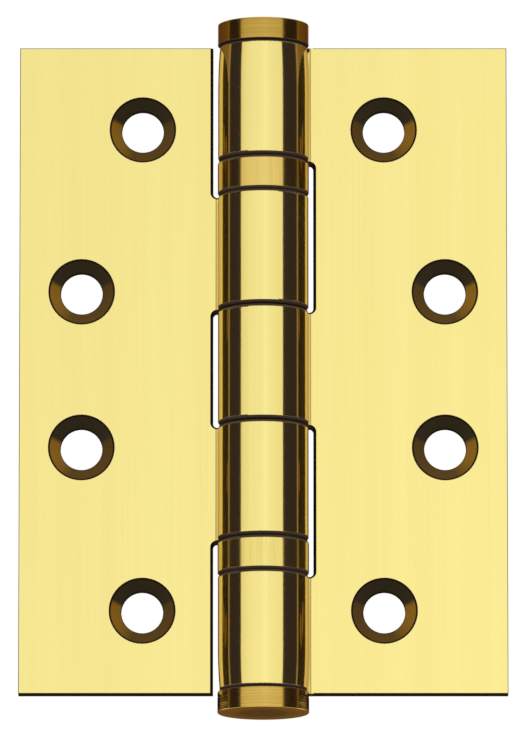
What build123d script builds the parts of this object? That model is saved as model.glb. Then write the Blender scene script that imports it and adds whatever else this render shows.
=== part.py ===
"""Ball-bearing butt hinge, 102 x 76 x 3 mm, laid open flat.

The pin stands along Z, with the origin on its axis at half height. The frame leaf lies on
the +X side and carries three knuckles, the door leaf lies on the -X side and carries two.
The countersunk faces look towards -Y. All sizes are in millimetres.
"""
import os
from math import asin, atan2, cos, degrees, radians, sin, sqrt

from build123d import *

# Leaves
leaf_height = 102.0
open_width = 76.0
leaf_thickness = 3.0
closed_gap = 3.0  # between the two front faces when the hinge is shut
outline_edge_break = 0.1
swage_radius = 6.0  # of the sheet's middle, where it bends back to the knuckles

# Pin and knuckles
pin_diameter = 8.0
pin_running_clearance = 0.05
inner_knuckle_length = 18.05  # the outer two take what the leaf's height leaves
knuckle_gap = 0.15
knuckle_edge_radius = 0.55
end_taper = 0.3  # the buffed outer ends narrow by this much on the radius
end_taper_length = 7.0
seam_gap = 0.25  # between the rolled end of the sheet and its own leaf

# Notches that clear the other leaf's knuckles
notch_clearance = 0.75
notch_corner_radius = 0.65
notch_bevel = 0.45
notch_end_bevel = 0.3
notch_overrun = 2.0  # past the leaf's end, where a notch is open

# Screw holes, in a zigzag
screw_hole_diameter = 6.5
countersink_diameter = 10.4
countersink_angle = 90.0
near_hole_reach = 18.8
near_hole_height = 38.0
far_hole_reach = 28.3
far_hole_height = 12.3

# Caps
cap_overhang = 0.05  # beyond the knuckles, on the radius
cap_height = 3.3
cap_edge_radius = 0.15
spigot_length = 4.0
spigot_clearance = 0.02
spigot_chamfer = 0.4
pin_end_clearance = 0.3
pin_chamfer = 0.5

# Thrust ball bearings
bearing_overhang = 0.05  # beyond the knuckles, on the radius
bearing_height = 5.45
bearing_top_gap = 0.15
shell_wall = 0.55
shell_floor = 0.6
shell_edge_radius = 0.5
race_pin_clearance = 0.1
race_shell_clearance = 0.05
ball_diameter = 1.588
ball_count = 10
ball_clearance = 0.05
groove_depth = 0.3
cage_thickness = 0.5
cage_clearance = 0.1
pocket_clearance = 0.08

# Sizes that follow from the driving dimensions
bore_radius = pin_diameter / 2 + pin_running_clearance
knuckle_radius = bore_radius + leaf_thickness
leaf_front = closed_gap / 2
leaf_middle = leaf_front + leaf_thickness / 2
leaf_back = leaf_front + leaf_thickness
roll_radius = bore_radius + leaf_thickness / 2
swage_start = sqrt((roll_radius + swage_radius) ** 2 - (leaf_middle + swage_radius) ** 2)
roll_start = degrees(atan2(leaf_middle + swage_radius, swage_start))
roll_end = 360 + degrees(asin((leaf_front - seam_gap) / knuckle_radius))
notch_reach = knuckle_radius + notch_clearance
cap_radius = knuckle_radius + cap_overhang
bearing_radius = knuckle_radius + bearing_overhang

# Heights of the column, from its middle up, and the same below
top = leaf_height / 2
knuckle_3 = (-inner_knuckle_length / 2, inner_knuckle_length / 2)
knuckle_2_low = knuckle_3[1] + knuckle_gap
knuckle_2 = (knuckle_2_low, knuckle_2_low + inner_knuckle_length)
bearing_1 = (knuckle_2[1], knuckle_2[1] + bearing_height)
knuckle_1 = (bearing_1[1], top)
knuckle_4 = (-knuckle_2[1], -knuckle_2[0])
bearing_2 = (-bearing_1[1], -bearing_1[0])
knuckle_5 = (-knuckle_1[1], -knuckle_1[0])

os.makedirs("parts", exist_ok=True)


def save(builder, name):
    """Label a finished sub-part and write it under its own name."""
    builder.part.label = name
    export_step(builder.part, f"parts/{name}.step")


def polar(radius, angle):
    """A point in the XY plane, at an angle in degrees from +X."""
    return (radius * cos(radians(angle)), radius * sin(radians(angle)))


def knuckle_section(low, high):
    """Section of a rolled knuckle, in radius and height, with rounded outer edges."""
    upper_taper = end_taper if high == top else 0
    lower_taper = end_taper if low == -top else 0
    with BuildSketch() as section:
        with BuildLine():
            Line((bore_radius, high), (bore_radius, low))
            Line((bore_radius, low), (knuckle_radius - lower_taper, low))
            if lower_taper:
                side_low = low + end_taper_length
                TangentArc((knuckle_radius, side_low), (knuckle_radius - lower_taper, low), tangent=(0, -1))
            else:
                side_low = low
            if upper_taper:
                side_high = high - end_taper_length
                TangentArc((knuckle_radius, side_high), (knuckle_radius - upper_taper, high), tangent=(0, 1))
            else:
                side_high = high
            Line((knuckle_radius, side_low), (knuckle_radius, side_high))
            Line((knuckle_radius - upper_taper, high), (bore_radius, high))
        make_face()
        outer_corners = [
            corner
            for corner in section.vertices()
            if corner.X > roll_radius and (corner.Y in (low, high))
        ]
        fillet(outer_corners, knuckle_edge_radius)
    return section.sketch


def make_leaf(own_knuckles, notches, on_minus_x):
    """One leaf: a flat plate, the sheet bent back and rolled into its knuckles, and the notches."""
    roll_plane = Plane(
        origin=(0, 0, 0),
        x_dir=(cos(radians(roll_start)), sin(radians(roll_start)), 0),
        z_dir=(sin(radians(roll_start)), -cos(radians(roll_start)), 0),
    )
    with BuildPart() as leaf:
        # Flat plate, from the start of the bend to the outer edge
        with BuildSketch(Plane.XZ.offset(-leaf_front)):
            with Locations(((swage_start + open_width / 2) / 2, 0)):
                Rectangle(open_width / 2 - swage_start, leaf_height)
        extrude(amount=-leaf_thickness)
        outline = leaf.edges().filter_by(Axis.Y, reverse=True)
        inner_side = outline.group_by(Axis.X)[0]
        chamfer([edge for edge in outline if edge not in inner_side], outline_edge_break)

        for low, high in own_knuckles:
            # Bend from the plate to the roll
            with BuildSketch(Plane.XY.offset(low)):
                with BuildLine():
                    Line((notch_reach, leaf_front), (swage_start, leaf_front))
                    TangentArc((swage_start, leaf_front), polar(bore_radius, roll_start), tangent=(-1, 0))
                    Line(polar(bore_radius, roll_start), polar(knuckle_radius, roll_start))
                    TangentArc((swage_start, leaf_back), polar(knuckle_radius, roll_start), tangent=(-1, 0))
                    Line((swage_start, leaf_back), (notch_reach, leaf_back))
                    Line((notch_reach, leaf_back), (notch_reach, leaf_front))
                make_face()
            extrude(amount=high - low)
            # Roll round the pin, open at the seam
            with BuildSketch(roll_plane):
                add(knuckle_section(low, high))
            revolve(axis=Axis.Z, revolution_arc=roll_end - roll_start)

        bevel_width = notch_clearance + 2 * notch_bevel
        bevel_middle = (knuckle_radius + notch_reach) / 2
        for low, high in notches:
            # Room for the other leaf's knuckle, with rounded outer corners
            with BuildSketch(Plane.XZ) as notch:
                with Locations((notch_reach / 2, (low + high) / 2)):
                    Rectangle(notch_reach, high - low)
                fillet(notch.vertices().group_by(Axis.X)[-1], notch_corner_radius)
            extrude(amount=2 * leaf_back, both=True, mode=Mode.SUBTRACT)
            # Bevel along the notch, on the front
            with BuildSketch(Plane.XZ.offset(-leaf_front)) as bevel:
                with Locations((bevel_middle, (low + high) / 2)):
                    Rectangle(bevel_width, high - low + 2 * notch_end_bevel)
                fillet(bevel.vertices().group_by(Axis.X)[-1], notch_corner_radius + notch_bevel)
            extrude(amount=-notch_bevel, taper=45, mode=Mode.SUBTRACT)

        # Countersunk screw holes
        with Locations(Plane.XZ.offset(-leaf_front)):
            with Locations(
                (near_hole_reach, near_hole_height),
                (far_hole_reach, far_hole_height),
                (far_hole_reach, -far_hole_height),
                (near_hole_reach, -near_hole_height),
            ):
                CounterSinkHole(
                    screw_hole_diameter / 2,
                    countersink_diameter / 2,
                    counter_sink_angle=countersink_angle,
                )
        if on_minus_x:
            mirror(about=Plane.YZ, mode=Mode.REPLACE)
    return leaf


frame_leaf = make_leaf(
    own_knuckles=[knuckle_1, knuckle_3, knuckle_5],
    notches=[
        (knuckle_3[1], bearing_1[1]),
        (bearing_2[0], knuckle_3[0]),
    ],
    on_minus_x=False,
)
save(frame_leaf, "frame_leaf")

door_leaf = make_leaf(
    own_knuckles=[knuckle_2, knuckle_4],
    notches=[
        (bearing_1[0], top + notch_overrun),
        (knuckle_4[1], knuckle_2[0]),
        (-top - notch_overrun, bearing_2[1]),
    ],
    on_minus_x=True,
)
save(door_leaf, "door_leaf")

# Hinge pin, between the spigots of the two caps
pin_length = leaf_height - 2 * (spigot_length + pin_end_clearance)
with BuildPart() as hinge_pin:
    Cylinder(pin_diameter / 2, pin_length)
    chamfer(hinge_pin.edges().filter_by(GeomType.CIRCLE), pin_chamfer)
save(hinge_pin, "hinge_pin")

# Caps: a flat button, and a spigot pressed into the outer knuckle
with BuildPart() as top_cap:
    with BuildSketch(Plane.XY.offset(top)):
        Circle(cap_radius)
    extrude(amount=cap_height)
    with BuildSketch(Plane.XY.offset(top)):
        Circle(bore_radius - spigot_clearance)
    extrude(amount=-spigot_length)
    chamfer(top_cap.faces().sort_by(Axis.Z)[0].edges(), spigot_chamfer)
    fillet(top_cap.edges().filter_by(GeomType.CIRCLE).group_by(SortBy.RADIUS)[-1], cap_edge_radius)
save(top_cap, "top_cap")

with BuildPart() as bottom_cap:
    add(top_cap.part)
    mirror(about=Plane.XY, mode=Mode.REPLACE)
save(bottom_cap, "bottom_cap")

# Bearing sizes
shell_bore = bearing_radius - shell_wall
race_bore = pin_diameter / 2 + race_pin_clearance
race_radius = shell_bore - race_shell_clearance
pitch_radius = (race_bore + race_radius) / 2
race_spacing = ball_diameter + 2 * ball_clearance - 2 * groove_depth
race_thickness = (bearing_height - shell_floor - race_spacing) / 2

for prefix, (low, high) in {"upper_bearing": bearing_1, "lower_bearing": bearing_2}.items():
    lower_race_top = low + shell_floor + race_thickness
    ball_height = lower_race_top + race_spacing / 2

    # Shell: a turned cup that stands on the knuckle below and holds the lower race
    with BuildPart() as shell:
        with BuildSketch(Plane.XZ) as cup:
            with BuildLine():
                Polyline(
                    (race_bore, low),
                    (bearing_radius, low),
                    (bearing_radius, high - bearing_top_gap),
                    (shell_bore, high - bearing_top_gap),
                    (shell_bore, low + shell_floor),
                    (race_bore, low + shell_floor),
                    close=True,
                )
            make_face()
            fillet(cup.vertices().group_by(Axis.X)[-1], shell_edge_radius)
        revolve(axis=Axis.Z)
    save(shell, f"{prefix}_shell")

    # Races: flat washers, each with a ball groove
    for name, base, groove_height in (
        ("lower_race", low + shell_floor, lower_race_top - groove_depth),
        ("upper_race", high - race_thickness, high - race_thickness + groove_depth),
    ):
        with BuildPart() as race:
            with BuildSketch(Plane.XZ) as washer:
                with Locations((pitch_radius, base + race_thickness / 2)):
                    Rectangle(race_radius - race_bore, race_thickness)
                with Locations((pitch_radius, ball_height)):
                    Circle(ball_diameter / 2 + ball_clearance, mode=Mode.SUBTRACT)
            revolve(axis=Axis.Z)
        save(race, f"{prefix}_{name}")

    # Cage: a flat ring with a pocket for each ball
    with BuildPart() as cage:
        with BuildSketch(Plane.XY.offset(ball_height)) as ring:
            Circle(race_radius - cage_clearance)
            Circle(race_bore + cage_clearance, mode=Mode.SUBTRACT)
            with PolarLocations(pitch_radius, ball_count):
                Circle(ball_diameter / 2 + pocket_clearance, mode=Mode.SUBTRACT)
        extrude(amount=cage_thickness / 2, both=True)
    save(cage, f"{prefix}_cage")

    for number in range(ball_count):
        with BuildPart() as ball:
            with Locations((*polar(pitch_radius, number * 360 / ball_count), ball_height)):
                Sphere(ball_diameter / 2)
        save(ball, f"{prefix}_ball_{number + 1:02d}")
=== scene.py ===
# %% [markdown]
# A ball-bearing butt hinge, laid open flat and seen from a little below its middle.
# The solid model is loaded first, as a fixed frame in metres. Its pieces have their true form
# already, so most of this lesson is about finishes, and about the studio that polished metal
# needs: a mirror has no look of its own, it shows what stands round it.

# %% Load the frame
import math

import bmesh
import bpy
import numpy as np
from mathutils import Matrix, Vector


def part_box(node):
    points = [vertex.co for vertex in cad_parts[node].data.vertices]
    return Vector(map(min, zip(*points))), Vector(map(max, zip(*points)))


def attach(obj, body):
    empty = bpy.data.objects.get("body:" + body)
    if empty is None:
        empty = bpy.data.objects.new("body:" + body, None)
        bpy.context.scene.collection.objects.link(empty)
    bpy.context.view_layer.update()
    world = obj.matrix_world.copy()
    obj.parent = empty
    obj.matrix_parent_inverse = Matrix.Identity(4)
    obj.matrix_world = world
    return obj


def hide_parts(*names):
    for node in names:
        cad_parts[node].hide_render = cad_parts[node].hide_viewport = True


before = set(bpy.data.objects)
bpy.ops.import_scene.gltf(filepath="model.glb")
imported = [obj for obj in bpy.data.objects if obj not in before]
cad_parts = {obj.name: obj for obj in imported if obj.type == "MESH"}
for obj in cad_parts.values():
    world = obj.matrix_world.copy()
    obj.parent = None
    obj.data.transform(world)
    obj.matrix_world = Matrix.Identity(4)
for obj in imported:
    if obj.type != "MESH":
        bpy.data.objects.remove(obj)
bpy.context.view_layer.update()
scene = bpy.context.scene
mm = 0.001
print(len(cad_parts), "nodes in the frame")

# %% [markdown]
# The camera of a catalogue picture stands far away with a long lens, so that upright edges stay
# upright. It stands a little below the hinge, which shows the underside of the bottom cap. The
# lens is worked out from the distance and from the height that the picture has to frame.

# %% Camera
picture_height = 730
pixels_per_mm = 6.428
camera_distance = 2.0
camera_elevation = math.radians(-10)
sensor_size = 36.0
aim = Vector((0.00019, 0.0, 0.00045))

camera_data = bpy.data.cameras.new("photo_camera")
camera_data.sensor_width = sensor_size
framed_height = picture_height / pixels_per_mm * mm
camera_data.lens = sensor_size * camera_distance / framed_height
camera = bpy.data.objects.new("photo_camera", camera_data)
scene.collection.objects.link(camera)
towards_camera = Vector((0, -math.cos(camera_elevation), math.sin(camera_elevation)))
camera.location = aim + camera_distance * towards_camera
camera.rotation_euler = (-towards_camera).to_track_quat("-Z", "Y").to_euler()
scene.camera = camera
scene.view_settings.view_transform = "Standard"
print("lens in mm:", round(camera_data.lens))

# %% [markdown]
# Every material and every modifier below is a small net of nodes. A few helpers keep that
# readable. The first adds a node and fills its sockets, by name or by number, with a value or with
# a link from another node. The others do so for what comes up most: sums, the parts of a vector, a
# distance, a value or a colour between two others, and a new group.


# %% Helpers for node trees
def put(tree, kind, values=None, **settings):
    """Add a node. A value that is a socket is linked, and any other is set."""
    made = tree.nodes.new(kind)
    for name, setting in settings.items():
        setattr(made, name, setting)
    for socket, value in (values or {}).items():
        if isinstance(value, bpy.types.NodeSocket):
            tree.links.new(value, made.inputs[socket])
        else:
            made.inputs[socket].default_value = value
    return made


def calc(tree, operation, *values):
    """The result of one Math node."""
    return put(tree, "ShaderNodeMath", dict(enumerate(values)), operation=operation).outputs[0]


def vector_calc(tree, operation, *values):
    """The vector that one Vector Math node gives."""
    return put(tree, "ShaderNodeVectorMath", dict(enumerate(values)), operation=operation).outputs[0]


def split(tree, vector):
    """The three numbers of a vector."""
    return put(tree, "ShaderNodeSeparateXYZ", {0: vector}).outputs


def distance(tree, across, up):
    """How far away a point is that lies this far across and this far up."""
    squares = calc(tree, "ADD", calc(tree, "MULTIPLY", across, across), calc(tree, "MULTIPLY", up, up))
    return calc(tree, "SQRT", squares)


def ramp(tree, value, start, end, low=0.0, high=1.0):
    """A value that goes from low at start to high at end, and no further."""
    return put(tree, "ShaderNodeMapRange", {0: value, 1: start, 2: end, 3: low, 4: high}).outputs[0]


def blend_colours(tree, factor, first, second):
    """A colour between two colours."""
    mix = put(tree, "ShaderNodeMix", {0: factor, 6: first, 7: second}, data_type="RGBA")
    return mix.outputs[2]


def open_group(name, kind, inputs, outputs):
    """A new node group with named sockets: its tree, its input sockets and its output node."""
    tree = bpy.data.node_groups.new(name, kind)
    prefix = "NodeSocket"
    for socket, (form, value) in inputs.items():
        made = tree.interface.new_socket(socket, in_out="INPUT", socket_type=prefix + form)
        if value is not None:
            made.default_value = value
    for socket, form in outputs.items():
        tree.interface.new_socket(socket, in_out="OUTPUT", socket_type=prefix + form)
    return tree, put(tree, "NodeGroupInput").outputs, put(tree, "NodeGroupOutput")


# %% [markdown]
# The background is plain white paper, which both the camera and the metal see. Its light on
# everything else is weaker, so that pale paint would keep its colour. The floor lies well below
# the hinge, because the hinge is a thing that hangs on screws and not one that stands.

# %% World and floor
white = (1, 1, 1, 1)
paint_light = 0.55
floor_depth = 1.2
floor_half = 12.0
floor_paint = (0.88, 0.88, 0.87)

world = bpy.data.worlds.new("studio")
scene.world = world
world.use_nodes = True
world_tree = world.node_tree
path = put(world_tree, "ShaderNodeLightPath").outputs
shown = calc(world_tree, "MAXIMUM", path["Is Camera Ray"], path["Is Glossy Ray"])
shown = calc(world_tree, "MAXIMUM", shown, path["Is Transmission Ray"])
background = world_tree.nodes["Background"]
background.inputs["Color"].default_value = white
world_tree.links.new(ramp(world_tree, shown, 0, 1, paint_light, 1), background.inputs["Strength"])


def plain_material(name, colour):
    """A dull surface for the studio. Metal sees it as bright as the background."""
    material = bpy.data.materials.new(name)
    material.use_nodes = True
    tree = material.node_tree
    tree.nodes.clear()
    dull = put(tree, "ShaderNodeBsdfDiffuse", {"Color": (*colour, 1)})
    glow = put(tree, "ShaderNodeEmission", {"Color": white})
    glossy = put(tree, "ShaderNodeLightPath").outputs["Is Glossy Ray"]
    mix = put(tree, "ShaderNodeMixShader", {0: glossy, 1: dull.outputs[0], 2: glow.outputs[0]})
    put(tree, "ShaderNodeOutputMaterial", {"Surface": mix.outputs[0]})
    return material


floor_mesh = bpy.data.meshes.new("floor")
corners = [(-1, -1), (1, -1), (1, 1), (-1, 1)]
floor_points = [(x * floor_half, y * floor_half, -floor_depth) for x, y in corners]
floor_mesh.from_pydata(floor_points, [], [(0, 1, 2, 3)])
floor_mesh.materials.append(plain_material("floor_paint", floor_paint))
floor = bpy.data.objects.new("floor", floor_mesh)
scene.collection.objects.link(floor)
print("floor at", -floor_depth, "m")

# %% [markdown]
# Dull faces need light of their own, and two large square lamps give it, the stronger one from
# above on the left. Metal doesn't see the lamps, because a square in a reflection looks like a
# studio. It sees the screens of the next steps.


# %% Lamps
def soft_lamp(name, place, size, power):
    """A square lamp that looks at the hinge, left out of reflections."""
    lamp = bpy.data.lights.new(name, "AREA")
    lamp.size = size
    lamp.energy = power
    holder = bpy.data.objects.new(name, lamp)
    holder.location = place
    holder.rotation_euler = (-Vector(place)).to_track_quat("-Z", "Y").to_euler()
    holder.visible_glossy = False
    scene.collection.objects.link(holder)


soft_lamp("key_lamp", place=(-0.9, -1.2, 1.3), size=0.9, power=14)
soft_lamp("fill_lamp", place=(1.3, -0.8, 0.6), size=1.0, power=6)
print("lamps:", [lamp.name for lamp in bpy.data.lights])

# %% [markdown]
# A photographer lights a polished hinge with one wide bright panel in front, between black
# flags. The knuckles show that panel as a pale stripe down their middle, and the flags as dark
# stripes beside it. The screens here do the same. They are plain bent sheets of mesh that shine
# in one colour. Only reflections see them, and none is brighter than the background.


# %% Helpers for screens
def paper(name, colour):
    """A material that shines in one colour."""
    material = bpy.data.materials.new(name)
    material.use_nodes = True
    material.node_tree.nodes.clear()
    glow = put(material.node_tree, "ShaderNodeEmission", {"Color": (*colour, 1)})
    put(material.node_tree, "ShaderNodeOutputMaterial", {"Surface": glow.outputs[0]})
    return material


def panel_glow(stops, low_z, high_z, dimmest, warm_at=55, green_loss=0.06, blue_loss=0.2):
    """Bright paper with a brightness for each azimuth in degrees, dimmer from low_z up to high_z.
    It is warmer towards its ends, and the losses are those at the azimuth warm_at."""
    material = paper("panel_glow", (1, 1, 1))
    tree = material.node_tree
    x, y, z = split(tree, put(tree, "ShaderNodeTexCoord").outputs["Object"])
    azimuth = calc(tree, "ARCTAN2", x, calc(tree, "MULTIPLY", y, -1.0))
    first, last = math.radians(stops[0][0]), math.radians(stops[-1][0])
    shades = put(tree, "ShaderNodeValToRGB", {0: ramp(tree, azimuth, first, last)})
    elements = shades.color_ramp.elements
    for number, (degrees, brightness) in enumerate(stops):
        position = (math.radians(degrees) - first) / (last - first)
        stop = elements[number] if number in (0, 1) else elements.new(position)
        stop.position = position
        warmth = (degrees / warm_at) ** 2
        green = brightness * (1 - green_loss * warmth)
        blue = brightness * (1 - blue_loss * warmth)
        stop.color = (brightness, green, blue, 1)
    glow = tree.nodes["Emission"]
    tree.links.new(shades.outputs[0], glow.inputs["Color"])
    tree.links.new(ramp(tree, z, low_z, high_z, 1.0, dimmest), glow.inputs["Strength"])
    return material


def screen(name, azimuths, heights, radius, material, upright=False, steps=24):
    """A curved screen round the hinge. Azimuth 0 is towards the camera, and 90 is +X. An upright
    one is part of a cylinder, with heights in metres. Any other is part of a sphere, with heights
    in degrees."""
    points = []
    for up in np.linspace(*heights, steps):
        flat = radius if upright else radius * math.cos(math.radians(up))
        z = up if upright else radius * math.sin(math.radians(up))
        for across in np.radians(np.linspace(*azimuths, steps)):
            points.append((flat * math.sin(across), -flat * math.cos(across), z))
    faces = [
        (r * steps + c, r * steps + c + 1, (r + 1) * steps + c + 1, (r + 1) * steps + c)
        for r in range(steps - 1)
        for c in range(steps - 1)
    ]
    mesh = bpy.data.meshes.new(name)
    mesh.from_pydata(points, [], faces)
    mesh.materials.append(material)
    made = bpy.data.objects.new(name, mesh)
    scene.collection.objects.link(made)
    made.visible_camera = False
    made.visible_diffuse = False
    made.visible_shadow = False
    made.visible_transmission = False
    print("screen:", name)


# %% [markdown]
# The panel is the one screen whose brightness changes. It is brightest just right of its middle, a
# little dimmer higher up and warmer towards its ends, which gives the gold its slow changes of
# tone. Each stop is an azimuth in degrees and the brightness there.

# %% Bright panel
panel_radius = 0.62
panel_end = 60
panel_heights = (-45, 45)
panel_stops = [
    (-panel_end, 0.83),
    (-49, 0.86),
    (-34, 0.915),
    (-9, 0.93),
    (-3, 0.95),
    (4, 1.0),
    (7, 1.0),
    (13, 0.95),
    (20, 0.935),
    (36, 0.91),
    (panel_end, 0.92),
]
panel_material = panel_glow(panel_stops, low_z=0.03, high_z=0.17, dimmest=0.96)
screen("bright_panel", (-panel_end, panel_end), panel_heights, panel_radius, panel_material)

# %% [markdown]
# The flags stand close to the hinge, so that each also hides the panel from the leaves' faces
# where the barrel mirrors them. Behind each flag stands a narrow brown strip, which the barrel
# shows as a dim line past the leaf's outer edge. Farther away, a second flag goes on from the
# panel's end. Two brown screens stand as far behind the hinge. They are seen past the leaves'
# ends, by the sides of both caps and by the corners of the knuckles beside them, and they leave a
# gap straight behind, so that the leaves' backs stay gold from there.

# %% Flags, strips and back screens
flag_black = paper("flag_black", (0.031, 0.022, 0.031))
strip_brown = paper("strip_brown", (0.32, 0.215, 0.115))
dim_brown = paper("dim_brown", (0.2, 0.12, 0.045))
flag_radius = 0.096
flag_heights = (-0.15, 0.14)
flag_end = 92.8
strip_start = 93
strip_end = 99.5
far_flag_radius = 0.6
far_flag_end = 90
far_flag_heights = (-60, 60)
back_radius = 0.61
back_end = 160
back_heights = (0.5, 26)
for side, name, flag_start in ((-1, "left", 56.8), (1, "right", 49.4)):
    near_span = (side * flag_start, side * flag_end)
    strip_span = (side * strip_start, side * strip_end)
    far_span = (side * panel_end, side * far_flag_end)
    back_span = (side * far_flag_end, side * back_end)
    screen("flag_" + name, near_span, flag_heights, flag_radius, flag_black, upright=True)
    screen("strip_" + name, strip_span, flag_heights, flag_radius, strip_brown, upright=True)
    screen("far_flag_" + name, far_span, far_flag_heights, far_flag_radius, flag_black)
    screen("back_screen_" + name, back_span, back_heights, back_radius, dim_brown)

# %% [markdown]
# Two more screens are small and close: paper bent round the bottom cap's back. The cap's underside
# shows the brown one, and its sides the black one, while the leaves' backs see neither.

# %% Paper behind the bottom cap
under_brown = paper("under_brown", (0.3, 0.212, 0.043))
under_radius = 0.0095
under_span = (95, 265)
under_top = -0.0512
under_seam = -0.0532
under_bottom = -0.08
screen("under_flag", under_span, (under_seam, under_top), under_radius, flag_black, upright=True)
screen("under_paper", under_span, (under_bottom, under_seam), under_radius, under_brown, upright=True)

# %% [markdown]
# Rolled sheet is brushed along its length before it gets its gold-coloured coat, so every face of
# the leaves has faint upright streaks. Noise that is stretched along Z gives them. A second,
# coarser noise gives the slow changes of tone across a leaf. Both are in one group, which each
# finish uses with its own scale and seed.


# %% Group: brushed grain
def brushed_grain():
    """A group with two noises stretched along Z: fine streaks and broad changes of tone."""
    tree, given, out = open_group(
        "Brushed grain",
        "ShaderNodeTree",
        {
            "Vector": ("Vector", None),
            "Across": ("Float", 2500.0),
            "Along": ("Float", 25.0),
            "Seed": ("Float", 0.0),
        },
        {"Fine": "Float", "Broad": "Float"},
    )
    across, along = given["Across"], given["Along"]
    stretch = put(tree, "ShaderNodeCombineXYZ", {0: across, 1: across, 2: along}).outputs[0]
    place = vector_calc(tree, "MULTIPLY", given["Vector"], stretch)
    for name, values in (
        ("Fine", {"Scale": 1.0, "Detail": 4.0, "Roughness": 0.65}),
        ("Broad", {"Scale": 0.09, "Detail": 2.0}),
    ):
        where = {"Vector": place, "W": given["Seed"]}
        noise = put(tree, "ShaderNodeTexNoise", where | values, noise_dimensions="4D")
        tree.links.new(noise.outputs["Fac"], out.inputs[name])
    return tree


grain = brushed_grain()
print("group:", grain.name)

# %% [markdown]
# The flats and the rolled knuckles are polished, but other faces are not: the countersinks are as
# the tool left them, and the outline, the notches and the knuckles' ends are sheared. Masks find
# them by where they are and by which way they face. On the plate, beyond the knuckles, it is any
# face that looks neither forwards nor backwards. On the barrel it is any face that looks partly
# up or down, and these knuckles' ends in the joints get painted shade. The countersinks get painted
# shade above and below and a painted highlight on the side away from the barrel. A countersink
# also has a dark line along each of its two rims, and the crease between a leaf's front and its
# barrel is a little browner, which is painted shade.

# %% Slopes of the cut and shaded faces
# A slope is one part of a face's normal. Each pair says where a mask starts and where it is full,
# and a face that looks forwards more than front_slope counts as a leaf's front.
sheared_slope = (0.95, 0.85)
# The two countersink slopes place painted shade above and a painted highlight on the side away from the
# barrel.
countersink_lit_slope = (-0.25, -0.7)
countersink_shade_slope = (-0.17, -0.28)
# The joint slope places painted shade on the knuckles' ends.
joint_slope = (0.13, 0.2)
front_slope = -0.98


# %% Group: cut and shaded faces
def cut_and_shaded_faces():
    """A group with a mask for each kind of face that isn't polished, and for each place with painted shade
    or a painted highlight.
    """
    tree, given, out = open_group(
        "Cut and shaded faces",
        "ShaderNodeTree",
        {
            "Vector": ("Vector", None),
            "Normal": ("Vector", None),
            "Plate Start": ("Float", 0.0077),
            "Inner Hole X": ("Float", 0.0188),
            "Inner Hole Z": ("Float", 0.038),
            "Outer Hole X": ("Float", 0.0283),
            "Outer Hole Z": ("Float", 0.0123),
            "Hole Radius": ("Float", 0.0053),
            "Throat Radius": ("Float", 0.00325),
            "Rim Line": ("Float", 0.0004),
            "Throat Line": ("Float", 0.0001),
            "Crease Start": ("Float", 0.0071),
            "Crease Full": ("Float", 0.0073),
            "Crease End": ("Float", 0.00745),
        },
        {
            "Holes": "Float",
            "Countersink Top Shade": "Float",
            "Countersink Lit Side": "Float",
            "Crease": "Float",
            "Joints": "Float",
            "Cut Or Joint Shade": "Float",
        },
    )
    sideways, backwards, rising = split(tree, given["Normal"])
    reach, _, height = split(tree, vector_calc(tree, "ABSOLUTE", given["Vector"]))
    _, forwards, upwards = split(tree, vector_calc(tree, "ABSOLUTE", given["Normal"]))
    on_plate = calc(tree, "GREATER_THAN", reach, given["Plate Start"])
    cut = calc(tree, "MULTIPLY", ramp(tree, forwards, *sheared_slope), on_plate)

    to_holes = []
    for word in ("Inner", "Outer"):
        across = calc(tree, "SUBTRACT", reach, given[f"{word} Hole X"])
        up = calc(tree, "SUBTRACT", height, given[f"{word} Hole Z"])
        to_holes.append(distance(tree, across, up))
    nearest = calc(tree, "MINIMUM", *to_holes)
    holes = calc(tree, "MULTIPLY", cut, calc(tree, "LESS_THAN", nearest, given["Hole Radius"]))
    line_end = calc(tree, "ADD", given["Throat Radius"], given["Throat Line"])
    line_start = calc(tree, "SUBTRACT", given["Hole Radius"], given["Rim Line"])
    inner_line = calc(tree, "LESS_THAN", nearest, line_end)
    outer_line = calc(tree, "GREATER_THAN", nearest, line_start)
    rims = calc(tree, "MULTIPLY", holes, calc(tree, "ADD", inner_line, outer_line))
    leaf_side = calc(tree, "SIGN", split(tree, given["Vector"])["X"])
    outward = calc(tree, "MULTIPLY", sideways, leaf_side)

    # Painted shade between the parts: the knuckles' ends in the barrel's joints.
    on_barrel = calc(tree, "SUBTRACT", 1.0, on_plate)
    joints = calc(tree, "MULTIPLY", on_barrel, ramp(tree, upwards, *joint_slope))
    edges = calc(tree, "SUBTRACT", cut, holes)
    # Painted shade in the crease between a leaf's front and its barrel.
    crease = calc(tree, "LESS_THAN", backwards, front_slope)
    crease = calc(tree, "MULTIPLY", crease, ramp(tree, reach, given["Crease Start"], given["Crease Full"]))
    crease = calc(tree, "MULTIPLY", crease, calc(tree, "LESS_THAN", reach, given["Crease End"]))
    # The countersink masks place painted shade and a painted highlight, and the crease and joint masks
    # place painted shade.
    masks = {
        "Holes": calc(tree, "SUBTRACT", holes, rims),
        "Countersink Top Shade": ramp(tree, rising, *countersink_shade_slope),
        "Countersink Lit Side": ramp(tree, outward, *countersink_lit_slope),
        "Crease": crease,
        "Joints": joints,
        "Cut Or Joint Shade": calc(tree, "MAXIMUM", calc(tree, "MAXIMUM", rims, edges), joints),
    }
    for name, mask in masks.items():
        tree.links.new(mask, out.inputs[name])
    return tree


cut_and_shade_masks = cut_and_shaded_faces()
print("group:", cut_and_shade_masks.name)

# %% [markdown]
# All finishes here start as plain metal. Such a gold coat turns brown where one looks along it, as
# at the barrel's two sides, and the shader's tint does that. A dull face is the same shader with
# its metal turned off. It needs no gloss of its own, and metal doesn't use that value, so the
# gloss is nought all over.

# %% Helpers for finishes
grazing_tint = (0.58, 0.44, 0.6, 1)
dull_roughness = 0.6


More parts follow.
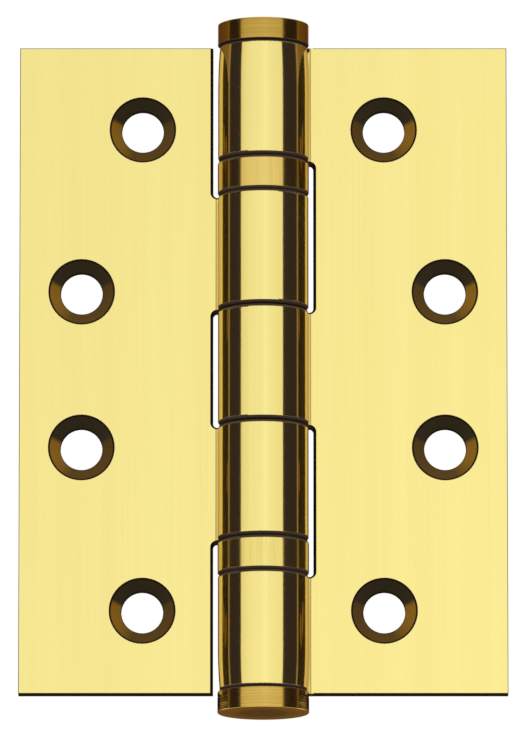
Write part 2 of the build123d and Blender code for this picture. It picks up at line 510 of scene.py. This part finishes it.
def metal(slot_name, tint=white):
    """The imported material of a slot, with its Principled shader set to metal."""
    material = bpy.data.materials[slot_name]
    material.use_nodes = True
    shader = material.node_tree.nodes["Principled BSDF"]
    shader.inputs["Metallic"].default_value = 1
    shader.inputs["Specular IOR Level"].default_value = 0
    shader.inputs["Specular Tint"].default_value = tint
    print("finish:", slot_name)
    return material.node_tree, shader


def surface(tree, across, along, seed=0.0):
    """What a finish reads: its coordinates, its grain, and the masks of its cut faces."""
    place = put(tree, "ShaderNodeTexCoord").outputs
    sizes = {"Vector": place["Object"], "Across": across, "Along": along, "Seed": seed}
    streaks = put(tree, "ShaderNodeGroup", sizes, node_tree=grain).outputs
    where = {"Vector": place["Object"], "Normal": place["Normal"]}
    zones = put(tree, "ShaderNodeGroup", where, node_tree=cut_and_shade_masks).outputs
    return place, streaks, zones


def by_noise(tree, noise, low, high):
    """A value between low and high that follows a noise, which seldom leaves 0.3 to 0.7."""
    return ramp(tree, noise, 0.3, 0.7, low, high)


def dull_where(tree, shader, mask, dark, colour, rough):
    """Join colour and roughness to a shader, and make it dull and dark where the mask is 1."""
    colour = blend_colours(tree, mask, colour, dark)
    rough = put(tree, "ShaderNodeMix", {0: mask, 2: rough, 3: dull_roughness}).outputs[0]
    tree.links.new(colour, shader.inputs["Base Color"])
    tree.links.new(rough, shader.inputs["Roughness"])
    tree.links.new(calc(tree, "SUBTRACT", 1.0, mask), shader.inputs["Metallic"])


# %% [markdown]
# The leaves' finish: metal in a pale gold, nearly a mirror, with the grain in its tone and in its
# roughness, and a very shallow bump that breaks up reflections across the grain. The countersinks
# are dull, with painted light: a painted highlight in gold on the side away from the barrel,
# painted shade in brown below and nearly black painted shade above. The cut faces don't shine at
# all: they are dull and nearly black, and in the barrel's joints a dark brown of painted shade.

# %% Finish of the leaves
gold = (1.0, 0.868, 0.322, 1)
gold_low = (0.965, 0.82, 0.288, 1)
# Painted shade in the crease beside the barrel.
crease_shade_gold = (0.5, 0.37, 0.08, 1)
# Painted light in the countersinks: a painted highlight, painted shade below and darker painted shade
# above.
countersink_highlight_gold = (0.3, 0.148, 0.016, 1)
countersink_shade_brown = (0.108, 0.06, 0.015, 1)
countersink_top_shade_brown = (0.046, 0.034, 0.017, 1)
cut_brown = (0.022, 0.014, 0.009, 1)
# Painted shade in the barrel's joints.
joint_shade_brown = (0.07, 0.045, 0.031, 1)
leaf_roughness = (0.12, 0.08)


def leaf_finish():
    """Brushed and polished gold, with its countersinks, edges and joints, and painted light on them."""
    tree, shader = metal("leaf_finish", grazing_tint)
    _, streaks, zones = surface(tree, across=2600, along=22)
    # The fine noise gives one half of the tone, and the broad noise the other.
    fine_tone = ramp(tree, streaks["Fine"], 0.35, 0.7, 0, 0.5)
    tone = calc(tree, "ADD", fine_tone, ramp(tree, streaks["Broad"], 0.35, 0.65, 0, 0.5))
    colour = blend_colours(tree, tone, gold_low, gold)
    # Painted shade: the crease beside the barrel is browner.
    colour = blend_colours(tree, zones["Crease"], colour, crease_shade_gold)
    # Painted light in the countersinks: a gold highlight away from the barrel, brown shade below and
    # darker shade above.
    cone_colour = blend_colours(tree, zones["Countersink Lit Side"], countersink_shade_brown, countersink_highlight_gold)
    cone_colour = blend_colours(tree, zones["Countersink Top Shade"], cone_colour, countersink_top_shade_brown)
    # Painted shade in the joints.
    dark = blend_colours(tree, zones["Joints"], cut_brown, joint_shade_brown)
    dark = blend_colours(tree, zones["Holes"], dark, cone_colour)
    dull = calc(tree, "MAXIMUM", zones["Cut Or Joint Shade"], zones["Holes"])
    rough = by_noise(tree, streaks["Fine"], *leaf_roughness)
    dull_where(tree, shader, dull, dark, colour, rough)
    relief = {"Strength": 0.06, "Distance": 0.00005, "Height": streaks["Fine"]}
    bump = put(tree, "ShaderNodeBump", relief)
    tree.links.new(bump.outputs[0], shader.inputs["Normal"])


leaf_finish()

# %% [markdown]
# The two bearing rings are turned parts with the same coat, a shade darker than the leaves. The
# upper ring is given a browner gold than the lower one, and the same holds for the two caps below.

# %% Finish of the bearing rings
ring_gold = (0.98, 0.82, 0.26, 1)
upper_ring_gold = (0.9, 0.67, 0.19, 1)
ring_shades = (0.87, 1.0)
ring_roughness = (0.18, 0.11)


def by_upper_or_lower(tree, height, shade, lower, upper):
    """The colour of the lower or of the upper one of two pieces, times a shade."""
    upper_or_lower_colour = blend_colours(tree, calc(tree, "GREATER_THAN", height, 0.0), lower, upper)
    return put(tree, "ShaderNodeVectorMath", {0: upper_or_lower_colour, "Scale": shade}, operation="SCALE").outputs[0]


def ring_finish():
    """Gold on the two bearing rings, with dull rims at the joints, dark with painted shade."""
    tree, shader = metal("bearing_ring_finish", grazing_tint)
    place, streaks, zones = surface(tree, across=2200, along=60, seed=3.0)
    height = split(tree, place["Object"])["Z"]
    shade = by_noise(tree, streaks["Fine"], *ring_shades)
    colour = by_upper_or_lower(tree, height, shade, ring_gold, upper_ring_gold)
    rough = by_noise(tree, streaks["Fine"], *ring_roughness)
    # Painted shade on the rims at the joints.
    dull_where(tree, shader, zones["Cut Or Joint Shade"], joint_shade_brown, colour, rough)


ring_finish()

# %% [markdown]
# The rest is steel and brass inside the barrel. Of it only the races' outer rims can be seen,
# through the joints beside the rings, and those rims are dark with painted shade.

# %% Finish of the hidden metal
# Painted shade on the races' outer rims, beyond this share of their radius.
rim_shade_share = 0.97
rim_shade_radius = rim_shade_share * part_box("upper_bearing_upper_race")[1].x
darkest_share = 0.85
rough_spread = 0.04


def hidden_metal(slot_name, colour, rough):
    """Ground steel or stamped brass, with painted shade near the barrel's surface."""
    tree, shader = metal(slot_name)
    place = put(tree, "ShaderNodeTexCoord").outputs["Object"]
    fine = put(tree, "ShaderNodeGroup", {"Vector": place}, node_tree=grain).outputs["Fine"]
    low = tuple(darkest_share * part for part in colour[:3]) + (1,)
    shade = blend_colours(tree, fine, low, colour)
    rough = by_noise(tree, fine, rough + rough_spread, rough - rough_spread)
    across, deep, _ = split(tree, place)
    # Painted shade on the rims that are seen through the joints.
    rim_shade = calc(tree, "GREATER_THAN", distance(tree, across, deep), rim_shade_radius)
    dull_where(tree, shader, rim_shade, joint_shade_brown, shade, rough)


hidden_metal("pin_steel", (0.62, 0.61, 0.6, 1), 0.25)
hidden_metal("bearing_steel", (0.75, 0.75, 0.77, 1), 0.12)
hidden_metal("cage_brass", (0.8, 0.62, 0.25, 1), 0.3)

# %% [markdown]
# The caps are turned on a lathe, and the tool has left fine grooves round them, which show as a
# thready texture in their reflections. Their form follows a rule: a section that goes once round
# an axis. So Geometry Nodes make them the way a lathe does. The section is a curve, the tree
# rounds its outer corners, cuts the grooves into it and turns it round Z.

# %% Geometry Nodes: a piece turned on a lathe
corner_steps = 8
outer_share = 0.99
seam_width = 5e-7


def lathe():
    """A tree that turns a section, given as a curve in the XZ plane, once round Z."""
    tree, given, out = open_group(
        "Turned piece",
        "GeometryNodeTree",
        {
            "Section": ("Geometry", None),
            "Outer Radius": ("Float", 0.007),
            "Corner Radius": ("Float", 0.00015),
            "Steps Along": ("Int", 640),
            "Steps Round": ("Int", 96),
            "Groove Pitch": ("Float", 0.0002),
            "Groove Depth": ("Float", 0.000004),
            "Seed": ("Float", 0.0),
            "Finish": ("Material", None),
        },
        {"Piece": "Geometry"},
    )
    across, up, _ = split(tree, put(tree, "GeometryNodeInputPosition").outputs[0])
    outer_start = calc(tree, "MULTIPLY", given["Outer Radius"], outer_share)
    outer = calc(tree, "GREATER_THAN", across, outer_start)
    rounding = calc(tree, "MULTIPLY", outer, given["Corner Radius"])
    corners_of = {"Curve": given["Section"], "Count": corner_steps, "Radius": rounding}
    rounded = put(tree, "GeometryNodeFilletCurve", corners_of, mode="POLY").outputs[0]

    rows = calc(tree, "ADD", given["Steps Round"], 1)
    counts = {"Vertices X": given["Steps Along"], "Vertices Y": rows}
    grid = put(tree, "GeometryNodeMeshGrid", {"Size X": 1.0, "Size Y": 1.0} | counts)
    # The grid goes from -0.5 to 0.5 both ways.
    along = calc(tree, "ADD", across, 0.5)
    angle = calc(tree, "MULTIPLY", calc(tree, "ADD", up, 0.5), math.tau)
    sample = put(tree, "GeometryNodeSampleCurve", {"Curves": rounded, "Factor": along}, mode="FACTOR")

    length = put(tree, "GeometryNodeCurveLength", {0: rounded}).outputs[0]
    turns = calc(tree, "DIVIDE", calc(tree, "MULTIPLY", along, length), given["Groove Pitch"])
    wave = {"W": calc(tree, "ADD", turns, given["Seed"]), "Scale": 1.0, "Detail": 1.0}
    noise = put(tree, "ShaderNodeTexNoise", wave, noise_dimensions="1D").outputs["Fac"]
    # The noise lies between 0 and 1, so twice its distance from 0.5 is at most one full depth.
    groove = calc(tree, "MULTIPLY", calc(tree, "SUBTRACT", noise, 0.5), given["Groove Depth"])
    groove = calc(tree, "MULTIPLY", groove, 2.0)

    radius, _, height = split(tree, sample.outputs["Position"])
    tangent = split(tree, sample.outputs["Tangent"])
    radius = calc(tree, "SUBTRACT", radius, calc(tree, "MULTIPLY", tangent["Z"], groove))
    height = calc(tree, "ADD", height, calc(tree, "MULTIPLY", tangent["X"], groove))
    x = calc(tree, "MULTIPLY", radius, calc(tree, "COSINE", angle))
    y = calc(tree, "MULTIPLY", radius, calc(tree, "SINE", angle))
    place = put(tree, "ShaderNodeCombineXYZ", {0: x, 1: y, 2: height}).outputs[0]
    turned = put(tree, "GeometryNodeSetPosition", {"Geometry": grid.outputs["Mesh"], "Position": place})
    seam = {"Geometry": turned.outputs[0], "Distance": seam_width}
    closed = put(tree, "GeometryNodeMergeByDistance", seam)
    smooth = put(tree, "GeometryNodeSetShadeSmooth", {"Geometry": closed.outputs[0]})
    realized = put(tree, "GeometryNodeRealizeInstances", {0: smooth.outputs[0]})
    coat = {"Geometry": realized.outputs[0], "Material": given["Finish"]}
    finished = put(tree, "GeometryNodeSetMaterial", coat)
    tree.links.new(finished.outputs[0], out.inputs[0])
    return tree


lathe_tree = lathe()
print("tree:", lathe_tree.name)

# %% [markdown]
# The tree works on a curve that is made from a list of radii and heights. Its result is turned
# into a plain mesh, because the export wants one, and its faces are made to point outwards.


# %% Helper for turned pieces
def turn(name, section, sizes):
    """Turn a section, a list of radii and heights, into a closed mesh with one material."""
    curve = bpy.data.curves.new(name + "_section", "CURVE")
    curve.dimensions = "3D"
    spline = curve.splines.new("POLY")
    spline.points.add(len(section) - 1)
    for corner, (radius, height) in zip(spline.points, section):
        corner.co = (radius, 0, height, 1)
    holder = bpy.data.objects.new(name + "_section", curve)
    scene.collection.objects.link(holder)
    modifier = holder.modifiers.new("lathe", "NODES")
    modifier.node_group = lathe_tree
    for socket in lathe_tree.interface.items_tree:
        if socket.item_type == "SOCKET" and socket.in_out == "INPUT" and socket.name in sizes:
            modifier[socket.identifier] = sizes[socket.name]
    bpy.context.view_layer.update()
    seen = holder.evaluated_get(bpy.context.evaluated_depsgraph_get())
    mesh = bpy.data.meshes.new_from_object(seen)
    mesh.name = name
    holder.modifiers.remove(modifier)
    bpy.data.objects.remove(holder)
    shape = bmesh.new()
    shape.from_mesh(mesh)
    bmesh.ops.recalc_face_normals(shape, faces=shape.faces)
    for face in shape.faces:
        face.material_index = 0
    shape.to_mesh(mesh)
    shape.free()
    mesh.materials.clear()
    mesh.materials.append(sizes["Finish"])
    piece = bpy.data.objects.new(name, mesh)
    scene.collection.objects.link(piece)
    print(name, "has", len(mesh.polygons), "faces")
    return piece


# %% [markdown]
# A cap is a flat button with a spigot below it, pressed into the bore of the outer knuckle. Its
# sizes come from the frame, and both caps are the same section, the bottom one upside down. Each
# has a seed of its own, so that their grooves differ.

# %% Caps
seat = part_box("frame_leaf")[1].z
cap_low, cap_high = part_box("top_cap")
spigot_radius = 4.03 * mm
spigot_chamfer = 0.4 * mm
groove_depth = 0.008 * mm
cap_section = [
    (0, cap_high.z),
    (cap_high.x, cap_high.z),
    (cap_high.x, seat),
    (spigot_radius, seat),
    (spigot_radius, cap_low.z + spigot_chamfer),
    (spigot_radius - spigot_chamfer, cap_low.z),
    (0, cap_low.z),
]
for node_name, side, seed in (("top_cap", 1, 0.0), ("bottom_cap", -1, 40.0)):
    cap = turn(
        "turned_" + node_name,
        [(radius, side * height) for radius, height in cap_section],
        {
            "Outer Radius": cap_high.x,
            "Groove Depth": groove_depth,
            "Seed": seed,
            "Finish": bpy.data.materials["cap_finish"],
        },
    )
    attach(cap, "frame")
    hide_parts(node_name)

# %% [markdown]
# The grooves are in the caps' tone too, because a groove's shaded side is darker. That is noise
# over radius and height, and so it goes round the axis as the tool did. The middle of a cap's end
# is browner, which is a painted reflection, and the face that meets the knuckle is dull and dark
# with painted shade, like the other joints.

# %% Finish of the caps
cap_gold = (0.745, 0.5, 0.112, 1)
upper_cap_gold = (0.64, 0.41, 0.077, 1)
# Painted reflection in the middle of a cap's end.
cap_centre_reflection = (0.16, 0.09, 0.025, 1)
cap_shades = (0.78, 1.0)
cap_roughness = (0.22, 0.13)
grooves_per_metre = 6000
end_height = 53.5 * mm
joint_height = 51.3 * mm
centre_span = (5.5 * mm, 3 * mm)
end_slope = 0.7
# Painted shade at the cap's joint.
cap_joint_slope = (0.15, 0.3)


def cap_finish():
    """Turned gold, browner in the middle of its ends by a painted reflection, and dull with painted shade
    at the joint.
    """
    tree, shader = metal("cap_finish", grazing_tint)
    place = put(tree, "ShaderNodeTexCoord").outputs
    across, deep, height = split(tree, place["Object"])
    radius = distance(tree, across, deep)
    section_place = put(tree, "ShaderNodeCombineXYZ", {0: radius, 1: 0.0, 2: height}).outputs[0]
    scaled = vector_calc(tree, "MULTIPLY", section_place, (grooves_per_metre, 1, grooves_per_metre))
    noise = put(tree, "ShaderNodeTexNoise", {"Vector": scaled, "Scale": 1.0, "Detail": 2.0})
    lines = noise.outputs["Fac"]
    shade = by_noise(tree, lines, *cap_shades)
    colour = by_upper_or_lower(tree, height, shade, cap_gold, upper_cap_gold)
    from_middle = calc(tree, "ABSOLUTE", height)
    upwards = calc(tree, "ABSOLUTE", split(tree, place["Normal"])["Z"])
    beyond = calc(tree, "GREATER_THAN", from_middle, end_height)
    on_end = calc(tree, "MULTIPLY", calc(tree, "GREATER_THAN", upwards, end_slope), beyond)
    centre = calc(tree, "MULTIPLY", on_end, ramp(tree, radius, *centre_span))
    # Painted reflection: the middle of a cap's end is browner.
    colour = blend_colours(tree, centre, colour, cap_centre_reflection)
    # Painted shade where the cap meets the knuckle.
    by_joint = calc(tree, "LESS_THAN", from_middle, joint_height)
    dark = calc(tree, "MULTIPLY", by_joint, ramp(tree, upwards, *cap_joint_slope))
    rough = by_noise(tree, lines, *cap_roughness)
    dull_where(tree, shader, dark, joint_shade_brown, colour, rough)


cap_finish()
